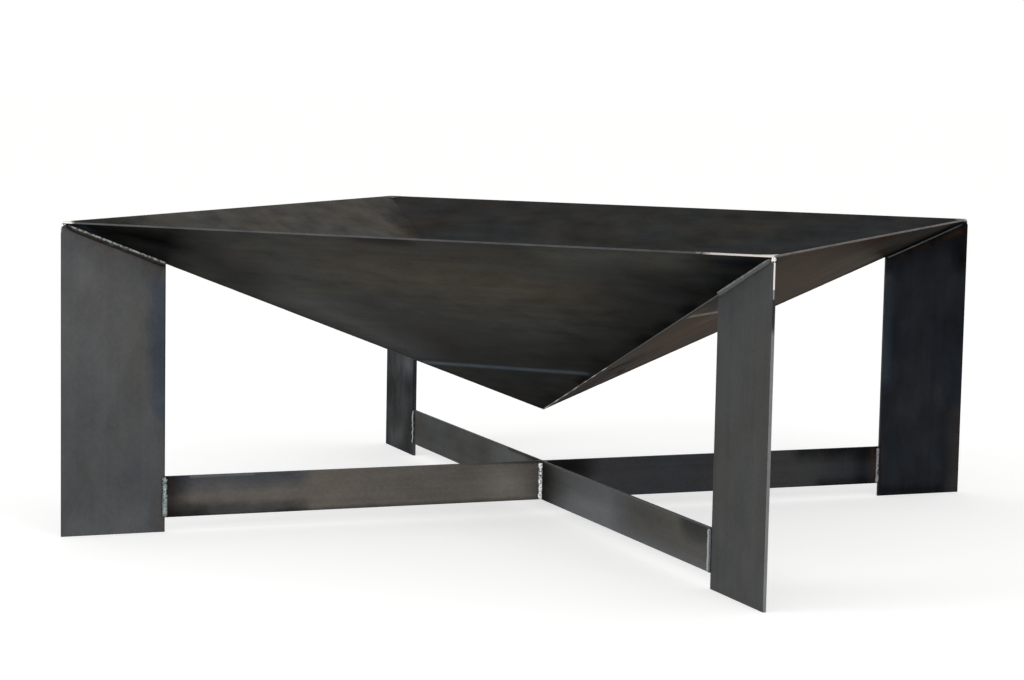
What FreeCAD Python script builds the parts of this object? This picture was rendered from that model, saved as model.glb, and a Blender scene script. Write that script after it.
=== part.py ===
"""Square fire bowl: a welded inverted pyramid of sheet steel on four plate legs with a cross brace.

Millimetres, +Z up, origin on the floor below the middle of the bowl. The sides of the rim run along X and Y,
and the legs and brace bars stand in the two upright planes through the rim's opposite corners.
"""
import FreeCAD, Part
import math
import os

# Bowl
RIM_SIDE_INSIDE = 696.0
RIM_HEIGHT = 300.0
BOWL_DEPTH = 191.0
BOWL_SHEET = 2.0

# Stand, all cut from one plate
STAND_PLATE = 3.0
LEG_WIDTH = 100.0
LEG_TOP_CORNER_RADIUS = 4.0
BRACE_HEIGHT = 40.0
BRACE_FLOOR_GAP = 14.0

# Weld metal
SEAM_CROWN = 0.6
RIM_CORNER_FILL = 14.0
LEG_BEAD_LEG = 4.0
LEG_BEAD_BULGE = 0.6
BRACE_BEAD_WIDTH = 7.0
BRACE_BEAD_CROWN = 1.8
CROSS_BEAD_LEG = 4.0
CROSS_BEAD_BULGE = 0.6

OUT_FOLDER = "parts"

SIDES = {"front": (0, -1), "right": (1, 0), "back": (0, 1), "left": (-1, 0)}
CORNERS = {"front_left": (-1, -1), "front_right": (1, -1), "back_right": (1, 1), "back_left": (-1, 1)}
LONG_BRACE_CORNER = "front_right"
HALF_BRACE_CORNERS = ("front_left", "back_right")

# Slope of the panels, and of the ridges where they meet
RIM_HALF = RIM_SIDE_INSIDE / 2
PANEL_SLOPE = math.atan2(BOWL_DEPTH, RIM_HALF)
RIDGE_RUN = RIM_HALF * math.sqrt(2)
RIDGE_SLOPE = math.atan2(BOWL_DEPTH, RIDGE_RUN)
TIP_HEIGHT = RIM_HEIGHT - BOWL_DEPTH

# Section across a ridge: the V groove that the square-cut sheets leave open on the outside
GROOVE_HALF_ANGLE = math.acos(math.cos(PANEL_SLOPE) ** 2) / 2
GROOVE_HALF_WIDTH = BOWL_SHEET * math.sin(GROOVE_HALF_ANGLE)
GROOVE_DEPTH = BOWL_SHEET * math.cos(GROOVE_HALF_ANGLE)

# Legs: the outer edge stands below the corner of the rim's outer square
LEG_OUTER = (RIM_HALF + BOWL_SHEET * math.sin(PANEL_SLOPE)) * math.sqrt(2)
LEG_INNER = LEG_OUTER - LEG_WIDTH
LEG_CORNER_SETBACK = LEG_TOP_CORNER_RADIUS / math.tan((math.pi / 2 - RIDGE_SLOPE) / 2)

UP = FreeCAD.Vector(0, 0, 1)


def radial(corner):
    """Level direction from the middle of the bowl to a corner."""
    return FreeCAD.Vector(*corner, 0).normalize()


def across(corner):
    """Level direction square to the diagonal plane of a corner."""
    return UP.cross(radial(corner))


def place(corner, out, side, height):
    """Point at a distance out along a corner's diagonal, aside from its plane, and at a height."""
    return radial(corner) * out + across(corner) * side + UP * height


def ridge_up(corner):
    """Direction along a ridge, from the tip to the rim."""
    return radial(corner) * math.cos(RIDGE_SLOPE) + UP * math.sin(RIDGE_SLOPE)


def ridge_under(corner):
    """Direction square to a ridge in its diagonal plane, out of the bowl and down."""
    return radial(corner) * math.sin(RIDGE_SLOPE) - UP * math.cos(RIDGE_SLOPE)


def on_ridge(corner, along, side, under):
    """Point by its distance along a ridge from the inside of the tip, aside from it and under it."""
    tip = UP * TIP_HEIGHT
    return tip + ridge_up(corner) * along + across(corner) * side + ridge_under(corner) * under


def along_ridge(out, under):
    """Distance along a ridge of the point that lies a given distance under it and out from the middle."""
    return (out - under * math.sin(RIDGE_SLOPE)) / math.cos(RIDGE_SLOPE)


def leg_top(out):
    """Height of a leg's top edge, which lies on the flat outside of the ridge seam."""
    return TIP_HEIGHT + out * math.tan(RIDGE_SLOPE) - GROOVE_DEPTH / math.cos(RIDGE_SLOPE)


def prism(points, sweep):
    """Solid swept from a flat outline of straight edges."""
    return Part.Face(Part.makePolygon(points + points[:1])).extrude(sweep)


def bulged_prism(points, bulge_middle, sweep):
    """As prism, but the outline closes with an arc through bulge_middle."""
    edges = [Part.LineSegment(a, b).toShape() for a, b in zip(points, points[1:])]
    edges.append(Part.Arc(points[-1], bulge_middle, points[0]).toShape())
    return Part.Face(Part.Wire(edges)).extrude(sweep)


def bowl_panel(side):
    """Triangle of sheet with square-cut edges; the inside faces of neighbours meet on the ridge line."""
    out = FreeCAD.Vector(*side, 0)
    along = UP.cross(out)
    rim = [out * RIM_HALF + along * (RIM_HALF * end) + UP * RIM_HEIGHT for end in (-1, 1)]
    outward = out * math.sin(PANEL_SLOPE) - UP * math.cos(PANEL_SLOPE)
    return prism(rim + [UP * TIP_HEIGHT], outward * BOWL_SHEET)


def ridge_seam(corner):
    """Weld that fills the V groove between two panels: flush under the leg, crowned from there to the tip."""
    rim_end = along_ridge(RIDGE_RUN, 0)
    groove = [(0, 0), (-GROOVE_HALF_WIDTH, GROOVE_DEPTH), (GROOVE_HALF_WIDTH, GROOVE_DEPTH)]
    fill = prism([on_ridge(corner, 0, *point) for point in groove], ridge_up(corner) * rim_end)
    crown_under = GROOVE_DEPTH + SEAM_CROWN
    crown_end = along_ridge(LEG_INNER, crown_under)
    mouth = [on_ridge(corner, 0, *point) for point in groove[1:]]
    crown = bulged_prism(mouth, on_ridge(corner, 0, 0, crown_under), ridge_up(corner) * crown_end)
    return fill.fuse(crown).removeSplitter()


def tip_weld():
    """Drop of weld in the pit between the ends of the four seams, domed as proud as their crowns."""
    reach = GROOVE_DEPTH + SEAM_CROWN
    tip = UP * TIP_HEIGHT
    foot_out = reach * math.tan(RIDGE_SLOPE)
    foot = [place(corner, foot_out * math.sqrt(2), 0, 0) for corner in SIDES.values()]
    foot = [point + tip - UP * reach for point in foot]
    faces = [Part.Face(Part.makePolygon([tip, a, b, tip])) for a, b in zip(foot, foot[1:] + foot[:1])]
    faces.append(Part.Face(Part.makePolygon(foot + foot[:1])))
    pit = Part.Solid(Part.Shell(faces))
    return pit.common(Part.makeSphere(reach, tip))


def rim_corner_weld(corner):
    """Weld inside a corner of the rim, ground flat with the rim; its inner face is upright."""
    rim_corner = place(corner, RIDGE_RUN, 0, RIM_HEIGHT)
    back = RIM_CORNER_FILL / math.sqrt(2)
    ends = [place(corner, RIDGE_RUN - back, back * end, RIM_HEIGHT) for end in (-1, 1)]
    root = place(corner, RIDGE_RUN - back, 0, RIM_HEIGHT - back * math.tan(RIDGE_SLOPE))
    triangles = [(rim_corner, *ends), (rim_corner, ends[0], root), (rim_corner, ends[1], root), (*ends, root)]
    faces = [Part.Face(Part.makePolygon([*points, points[0]])) for points in triangles]
    return Part.Solid(Part.Shell(faces))


def leg(corner):
    """Upright plate whose slanted top edge seats on the ridge seam, with its top outer corner rounded."""
    def face_point(out, height):
        return place(corner, out, -STAND_PLATE / 2, height)

    peak = leg_top(LEG_OUTER)
    arc_start = face_point(LEG_OUTER, peak - LEG_CORNER_SETBACK)
    arc_end_out = LEG_OUTER - LEG_CORNER_SETBACK * math.cos(RIDGE_SLOPE)
    arc_end = face_point(arc_end_out, leg_top(arc_end_out))
    centre = face_point(LEG_OUTER - LEG_TOP_CORNER_RADIUS, peak - LEG_CORNER_SETBACK)
    to_peak = (face_point(LEG_OUTER, peak) - centre).normalize()
    arc_middle = centre + to_peak * LEG_TOP_CORNER_RADIUS
    outline = [
        arc_end,
        face_point(LEG_INNER, leg_top(LEG_INNER)),
        face_point(LEG_INNER, 0),
        face_point(LEG_OUTER, 0),
        arc_start,
    ]
    return bulged_prism(outline, arc_middle, across(corner) * STAND_PLATE)


def brace(corner, inner_end, outer_end):
    """Flat bar on edge along a corner's diagonal."""
    ends = [place(corner, out, -STAND_PLATE / 2, BRACE_FLOOR_GAP) for out in (inner_end, outer_end)]
    outline = ends + [end + UP * BRACE_HEIGHT for end in reversed(ends)]
    return prism(outline, across(corner) * STAND_PLATE)


def leg_top_weld(corner):
    """Fillet bead on each face of a leg, from its inner edge out to the rim or the rounded corner."""
    toe_side = GROOVE_HALF_WIDTH + LEG_BEAD_LEG * math.cos(GROOVE_HALF_ANGLE)
    toe_under = GROOVE_DEPTH - LEG_BEAD_LEG * math.sin(GROOVE_HALF_ANGLE)
    foot_under = GROOVE_DEPTH + LEG_BEAD_LEG
    face_side = STAND_PLATE / 2
    start = along_ridge(LEG_INNER, GROOVE_DEPTH)
    outer_end = min(RIDGE_RUN - toe_side, LEG_OUTER - LEG_CORNER_SETBACK * math.cos(RIDGE_SLOPE))
    length = along_ridge(outer_end, foot_under) - start
    section = [
        (toe_side, toe_under),
        (GROOVE_HALF_WIDTH, GROOVE_DEPTH),
        (face_side, GROOVE_DEPTH),
        (face_side, foot_under),
    ]
    chord = (toe_side - face_side, toe_under - foot_under)
    chord_length = math.hypot(*chord)
    bulge = (
        (toe_side + face_side) / 2 - chord[1] / chord_length * LEG_BEAD_BULGE,
        (toe_under + foot_under) / 2 + chord[0] / chord_length * LEG_BEAD_BULGE,
    )
    beads = []
    for face in (-1, 1):
        points = [on_ridge(corner, start, face * side, under) for side, under in section]
        middle = on_ridge(corner, start, face * bulge[0], bulge[1])
        beads.append(bulged_prism(points, middle, ridge_up(corner) * length))
    return Part.makeCompound(beads)


def brace_end_weld(corner):
    """Upright bead on each face, over the butt of a brace bar on a leg's inner edge."""
    beads = []
    for face in (-1, 1):
        side = face * STAND_PLATE / 2
        toe_outs = (LEG_INNER - BRACE_BEAD_WIDTH / 2, LEG_INNER + BRACE_BEAD_WIDTH / 2)
        toes = [place(corner, out, side, BRACE_FLOOR_GAP) for out in toe_outs]
        middle = place(corner, LEG_INNER, side + face * BRACE_BEAD_CROWN, BRACE_FLOOR_GAP)
        beads.append(bulged_prism(toes, middle, UP * BRACE_HEIGHT))
    return Part.makeCompound(beads)


def brace_cross_weld():
    """Upright fillets in the four corners where the half bars meet the long bar."""
    face = STAND_PLATE / 2
    toe = face + CROSS_BEAD_LEG
    belly = (face + toe) / 2 + CROSS_BEAD_BULGE / math.sqrt(2)
    along_long = radial(CORNERS[LONG_BRACE_CORNER])
    along_half = across(CORNERS[LONG_BRACE_CORNER])
    beads = []
    for long_end in (-1, 1):
        for half_end in (-1, 1):
            on_long = along_long * long_end
            on_half = along_half * half_end
            section = [(toe, face), (face, face), (face, toe), (belly, belly)]
            *points, middle = [on_long * a + on_half * b + UP * BRACE_FLOOR_GAP for a, b in section]
            beads.append(bulged_prism(points, middle, UP * BRACE_HEIGHT))
    return Part.makeCompound(beads)


def build():
    """Every piece by the name of its node."""
    pieces = {f"bowl_panel_{name}": bowl_panel(side) for name, side in SIDES.items()}
    for name, corner in CORNERS.items():
        pieces[f"leg_{name}"] = leg(corner)
        pieces[f"ridge_seam_{name}"] = ridge_seam(corner)
        pieces[f"rim_corner_weld_{name}"] = rim_corner_weld(corner)
        pieces[f"leg_top_weld_{name}"] = leg_top_weld(corner)
        pieces[f"brace_end_weld_{name}"] = brace_end_weld(corner)
    pieces["brace_long"] = brace(CORNERS[LONG_BRACE_CORNER], -LEG_INNER, LEG_INNER)
    for name in HALF_BRACE_CORNERS:
        pieces[f"brace_half_{name}"] = brace(CORNERS[name], STAND_PLATE / 2, LEG_INNER)
    pieces["brace_cross_weld"] = brace_cross_weld()
    pieces["tip_weld"] = tip_weld()
    return pieces


os.makedirs(OUT_FOLDER, exist_ok=True)
for node, shape in build().items():
    shape.exportStep(f"{OUT_FOLDER}/{node}.step")
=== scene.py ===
"""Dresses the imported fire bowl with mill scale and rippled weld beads, and sets up floor, light and camera.

Metres, +Z up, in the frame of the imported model. The rim's sides run along X and Y with -Y at the front, and
the legs and brace bars stand in the two upright planes through the rim's opposite corners.
"""
import bisect
import logging
import math
import random
from collections.abc import Sequence
from dataclasses import dataclass
from enum import Enum
from typing import Any, NamedTuple

import bmesh
import bpy
from bmesh.types import BMesh, BMVert
from bpy.types import ID, Material, NodeSocket, NodeTree, Object, World
from mathutils import Matrix, Vector


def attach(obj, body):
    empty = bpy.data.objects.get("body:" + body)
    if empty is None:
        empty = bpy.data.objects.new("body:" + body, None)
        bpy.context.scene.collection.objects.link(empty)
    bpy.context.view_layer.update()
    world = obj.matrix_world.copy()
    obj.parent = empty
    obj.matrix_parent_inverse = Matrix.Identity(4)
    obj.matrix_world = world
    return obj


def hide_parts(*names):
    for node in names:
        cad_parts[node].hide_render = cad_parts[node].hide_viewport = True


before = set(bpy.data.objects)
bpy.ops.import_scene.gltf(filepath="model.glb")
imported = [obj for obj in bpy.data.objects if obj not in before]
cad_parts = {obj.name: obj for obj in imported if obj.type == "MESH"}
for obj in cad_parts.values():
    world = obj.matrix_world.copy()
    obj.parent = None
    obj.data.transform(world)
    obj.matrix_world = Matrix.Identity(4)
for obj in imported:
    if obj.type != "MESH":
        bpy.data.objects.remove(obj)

LOG = logging.getLogger("fire_bowl")
MM = 0.001
UP = Vector((0, 0, 1))
BODY = "root"

# Places of a Mix node's sockets when it mixes colours, and the setting and the output that it then has
MIX_FACTOR, MIX_A, MIX_B = 0, 6, 7
MIX_COLOURS: dict[str, Any] = {"data_type": "RGBA", "out": 2}

# Mesh layers that weld metal's material reads
CREST, TOE = "crest", "toe"

# First seed of each kind of piece
PANEL_SEED, LEG_SEED, BAR_SEED = 10, 20, 30
SEAM_SEED, LEG_BEAD_SEED, BRACE_BEAD_SEED, TIP_SEED, CROSS_BEAD_SEED = 40, 50, 60, 71, 80
FILL_SEED, LUMP_SEED = 90, 95

Pair = tuple[float, float]
Colour = tuple[float, float, float, float]
Stop = tuple[float, str, float]


def linear(hex_colour: str, alpha: float = 1.0) -> Colour:
    """Turns an sRGB hex colour to linear light.

    Args:
        hex_colour: Colour such as "#4f4f4f".
        alpha: Alpha of the result.

    Returns:
        Red, green, blue and alpha for a shader socket.
    """
    levels = [int(hex_colour[i:i + 2], 16) / 255 for i in (1, 3, 5)]
    red, green, blue = [v / 12.92 if v <= 0.04045 else ((v + 0.055) / 1.055) ** 2.4 for v in levels]
    return red, green, blue, alpha


def clamp(value: float, low: float = 0.0) -> float:
    """Holds a value between a lower bound and 1."""
    return min(1.0, max(low, value))


def add(tree: NodeTree, kind: str, inputs: dict[str | int, Any] | Sequence[Any] = (), out: str | int = 0,
        stops: Sequence[Stop] = (), **settings: Any) -> NodeSocket | None:
    """Adds one node with its settings and links.

    Args:
        tree: Node tree that takes the node.
        kind: Blender's type name without its "ShaderNode" head.
        inputs: Values, or output sockets that feed the node, in order or by socket name or place.
        out: Name or place of the output socket to return.
        stops: Position, hex colour and alpha of each stop of a colour ramp, in order.
        **settings: Attributes of the node.

    Returns:
        The output socket, or None if the node has no outputs.
    """
    node = tree.nodes.new(f"ShaderNode{kind}")
    for name, value in settings.items():
        setattr(node, name, value)
    for key, value in inputs.items() if isinstance(inputs, dict) else enumerate(inputs):
        if isinstance(value, NodeSocket):
            tree.links.new(value, node.inputs[key])
        else:
            node.inputs[key].default_value = value
    if stops:
        elements = node.color_ramp.elements
        elements.remove(elements[-1])
        for i, (position, colour, alpha) in enumerate(stops):
            element = elements.new(position) if i else elements[0]
            element.position = position
            element.color = linear(colour, alpha)
    return node.outputs[out] if node.outputs else None


def empty_tree(owner: Material | World) -> NodeTree:
    """Turns on the nodes of a material or a world and clears them.

    Args:
        owner: The material or world.

    Returns:
        Its node tree.
    """
    owner.use_nodes = True
    owner.node_tree.nodes.clear()
    return owner.node_tree


@dataclass(frozen=True)
class Sizes:
    """The part's own sizes, as its source gives them."""

    rim_half: float = 348 * MM
    rim_height: float = 300 * MM
    bowl_depth: float = 191 * MM
    bowl_sheet: float = 2 * MM
    stand_plate: float = 3 * MM
    leg_width: float = 100 * MM
    brace_height: float = 40 * MM
    brace_floor_gap: float = 14 * MM
    seam_crown: float = 0.6 * MM
    rim_corner_fill: float = 14 * MM
    leg_bead_leg: float = 4 * MM
    cross_bead_leg: float = 4 * MM

    @property
    def tip_height(self) -> float:
        """Height of the bowl's tip, inside."""
        return self.rim_height - self.bowl_depth

    @property
    def panel_slope(self) -> float:
        """Slope of the bowl's panels."""
        return math.atan2(self.bowl_depth, self.rim_half)

    @property
    def ridge_run(self) -> float:
        """Level distance from the tip to a corner of the rim."""
        return self.rim_half * math.sqrt(2)

    @property
    def ridge_slope(self) -> float:
        """Slope of the ridges where panels meet."""
        return math.atan2(self.bowl_depth, self.ridge_run)

    @property
    def groove_half_angle(self) -> float:
        """Half the angle of the V groove between two square-cut panels."""
        return math.acos(math.cos(self.panel_slope) ** 2) / 2

    @property
    def groove_half_width(self) -> float:
        """Half the mouth of the V groove."""
        return self.bowl_sheet * math.sin(self.groove_half_angle)

    @property
    def groove_depth(self) -> float:
        """Depth of the V groove."""
        return self.bowl_sheet * math.cos(self.groove_half_angle)

    @property
    def leg_outer(self) -> float:
        """Distance of a leg's outer edge from the middle."""
        return (self.rim_half + self.bowl_sheet * math.sin(self.panel_slope)) * math.sqrt(2)

    @property
    def leg_inner(self) -> float:
        """Distance of a leg's inner edge from the middle."""
        return self.leg_outer - self.leg_width

    @property
    def brace_top(self) -> float:
        """Height of the brace bars' top edges."""
        return self.brace_floor_gap + self.brace_height

    def leg_top(self, out: float) -> float:
        """Height of a leg's slanted top edge at a distance out from the middle."""
        under = self.groove_depth / math.cos(self.ridge_slope)
        return self.tip_height + out * math.tan(self.ridge_slope) - under

    def along_ridge(self, out: float, under: float) -> float:
        """Distance along a ridge of the point that lies out from the middle and under the ridge."""
        return (out - under * math.sin(self.ridge_slope)) / math.cos(self.ridge_slope)


SIZES = Sizes()


class Named(Enum):
    """A choice whose name is part of node names."""

    @property
    def label(self) -> str:
        """The name as node names have it."""
        return self.name.lower()


class Side(Named):
    """Sides of the bowl, by the level direction that each panel faces."""

    FRONT = (0, -1)
    RIGHT = (1, 0)
    BACK = (0, 1)
    LEFT = (-1, 0)

    @property
    def out(self) -> Vector:
        """Level direction from the middle to the side."""
        return Vector((*self.value, 0))

    @property
    def along(self) -> Vector:
        """Level direction along the rim."""
        return UP.cross(self.out)

    @property
    def normal(self) -> Vector:
        """Outward direction square to the panel."""
        return self.out * math.sin(SIZES.panel_slope) - UP * math.cos(SIZES.panel_slope)

    def rim_end(self, end: int) -> Vector:
        """Inside corner of the rim at one end of the panel, -1 or 1."""
        return self.out * SIZES.rim_half + self.along * (SIZES.rim_half * end) + UP * SIZES.rim_height

    def face_point(self, along: float, height: float, outside: bool) -> Vector:
        """Point on one face of the panel.

        Args:
            along: Distance along the rim from its middle.
            height: Height over the floor.
            outside: Whether the point is on the outer face.

        Returns:
            The point.
        """
        out = SIZES.rim_half * (height - SIZES.tip_height) / SIZES.bowl_depth
        if outside:
            out += SIZES.bowl_sheet / math.sin(SIZES.panel_slope)
        return self.out * out + self.along * along + UP * height


class Corner(Named):
    """Corners of the rim, by the signs of X and Y."""

    FRONT_LEFT = (-1, -1)
    FRONT_RIGHT = (1, -1)
    BACK_RIGHT = (1, 1)
    BACK_LEFT = (-1, 1)

    @property
    def radial(self) -> Vector:
        """Level direction from the middle to the corner."""
        return Vector((*self.value, 0)).normalized()

    @property
    def across(self) -> Vector:
        """Level direction square to the corner's diagonal plane."""
        return UP.cross(self.radial)

    @property
    def ridge_up(self) -> Vector:
        """Direction along the ridge, from the tip to the rim."""
        return self.radial * math.cos(SIZES.ridge_slope) + UP * math.sin(SIZES.ridge_slope)

    @property
    def ridge_under(self) -> Vector:
        """Direction square to the ridge in its diagonal plane, out of the bowl and down."""
        return self.radial * math.sin(SIZES.ridge_slope) - UP * math.cos(SIZES.ridge_slope)

    def place(self, out: float, side: float, height: float) -> Vector:
        """Point at a distance out along the diagonal, aside from its plane, and at a height."""
        return self.radial * out + self.across * side + UP * height

    def on_ridge(self, along: float) -> Vector:
        """Point on the ridge, inside the bowl, at a distance from the tip."""
        return UP * SIZES.tip_height + self.ridge_up * along


@dataclass(frozen=True)
class PlateFrame:
    """How a plate lies: its rolling direction and the direction square to its face."""

    rolling: Vector
    normal: Vector

    @property
    def turn(self) -> tuple[float, ...]:
        """Rotation that takes X to the rolling direction and Z to the plate's normal."""
        rows = (self.rolling, self.normal.cross(self.rolling), self.normal)
        return tuple(Matrix(rows).transposed().to_euler())


class Stain(Enum):
    """What marks the scale, and painted light and shade laid on it, as stops from the mark's middle line to
    where it has faded.
    """

    TEMPER = ((0.0, "#19191b", 0.75), (0.18, "#241f1c", 0.7), (0.3, "#55392a", 0.55), (0.42, "#332c31", 0.5),
              (0.66, "#272b3a", 0.4), (1.0, "#2b2f38", 0.0))
    # Soot by the welds; also painted shade at the crossing, bar tops, a leg's inner edge, a panel corner
    SOOT = ((0.0, "#0b0b0b", 0.95), (0.4, "#121212", 0.7), (1.0, "#1e1e1d", 0.0))
    # Dull scale; also painted shade where the front panel reflects shadowed floor, and in an inside corner
    DULL = ((0.0, "#141615", 0.8), (0.5, "#171918", 0.45), (1.0, "#1c1d1c", 0.0))
    SCORCHED = ((0.0, "#4a2a14", 0.95), (0.5, "#38261a", 0.65), (1.0, "#262220", 0.0))
    BLUED = ((0.0, "#323f50", 0.8), (0.5, "#39434f", 0.55), (1.0, "#454b52", 0.0))
    NAVY = ((0.0, "#171a26", 0.9), (0.45, "#1c2236", 0.7), (0.75, "#2a2528", 0.4), (1.0, "#2a2625", 0.0))
    BROWNED = ((0.0, "#5b4b38", 0.6), (0.5, "#564939", 0.4), (1.0, "#4c4438", 0.0))
    # Paler scale; also painted light where the front panel reflects the brighter floor
    PALE = ((0.0, "#64645e", 0.75), (0.5, "#605f59", 0.5), (1.0, "#585752", 0.0))
    # Lighter scale; also painted light where a bar's reflection is shaded near the crossing
    LIGHT = ((0.0, "#75777a", 0.8), (0.5, "#6c6e70", 0.5), (1.0, "#606263", 0.0))
    # Bare steel at a ground edge; also a painted highlight along bar tops and near the crossing
    SILVERED = ((0.0, "#a9acae", 0.9), (0.6, "#8d9092", 0.5), (1.0, "#77797b", 0.0))
    # Painted light, warm, where a bar's reflection is shaded near the crossing
    RUBBED = ((0.0, "#85807a", 0.85), (0.5, "#7a756f", 0.5), (1.0, "#6c6762", 0.0))
    HAZED = ((0.0, "#3d4143", 0.9), (0.5, "#3f4345", 0.65), (1.0, "#424546", 0.0))
    DUSTY = ((0.0, "#b8b6b2", 0.95), (0.5, "#aeaca8", 0.6), (1.0, "#9c9a96", 0.0))
    WELD_BEHIND = ((0.0, "#59636d", 0.9), (0.22, "#505a63", 0.75), (0.5, "#2b2f32", 0.4),
                   (1.0, "#242424", 0.0))
    GROUND = ((0.0, "#ece4df", 1.0), (0.8, "#dcd3ce", 0.9), (1.0, "#9a9592", 0.0))

    @property
    def matt(self) -> float:
        """How much of the scale's sheen the stain takes away."""
        return MATT_FILMS.get(self, 0.0)


# Soot, dust and haze are matt films on the scale; painted shade laid with soot and dull scale takes sheen too
MATT_FILMS = {Stain.SOOT: 0.85, Stain.DUSTY: 0.8, Stain.HAZED: 0.8, Stain.NAVY: 0.3, Stain.DULL: 0.25}


@dataclass(frozen=True)
class Mark:
    """A stain on the scale, or painted light or shade laid on it, along a straight line, or round a point
    where both ends are the same.
    """

    stain: Stain
    start: Vector
    end: Vector
    reach: float
    strength: float = 1.0
    uneven: float = 0.5
    outside: bool = False


class Trace(NamedTuple):
    """A mark in a plate's plane: its ends, as level distance and height, and its reach, in millimetres."""

    stain: Stain
    start: Pair
    end: Pair
    reach: float
    strength: float
    uneven: float = 0.5

    def upright(self, corner: Corner) -> Mark:
        """The mark on a leg or bar, with its level distances out from the middle."""
        ends = (corner.place(out * MM, 0, height * MM) for out, height in (self.start, self.end))
        return Mark(self.stain, *ends, self.reach * MM, self.strength, self.uneven)

    def on_panel(self, side: Side, outside: bool) -> Mark:
        """The mark on a panel, on its outer face alone or through both, with its distances along the rim."""
        ends = (side.face_point(along * MM, height * MM, outside) for along, height in (self.start, self.end))
        return Mark(self.stain, *ends, self.reach * MM, self.strength, self.uneven, outside)


@dataclass(frozen=True)
class Finish:
    """A surface finish, named for its material and how it was made."""

    name: str

    def surface(self, tree: NodeTree) -> NodeSocket:
        """Adds the finish's nodes to a tree and returns the shader's socket."""
        raise NotImplementedError

    def material(self) -> Material:
        """Builds the material.

        Returns:
            The new material.
        """
        made = bpy.data.materials.new(self.name)
        tree = empty_tree(made)
        add(tree, "OutputMaterial", {"Surface": self.surface(tree)})
        return made


@dataclass(frozen=True)
class ScaleTone:
    """Cast of the mill scale on one plate: its cooler and its browner parts."""

    cool: str
    warm: str


@dataclass(frozen=True)
class Mottle:
    """How strongly the scale's lightness varies: in smudges, in streaks of the rollers, in grain."""

    smudge: float
    streak: float
    grain: float


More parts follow.
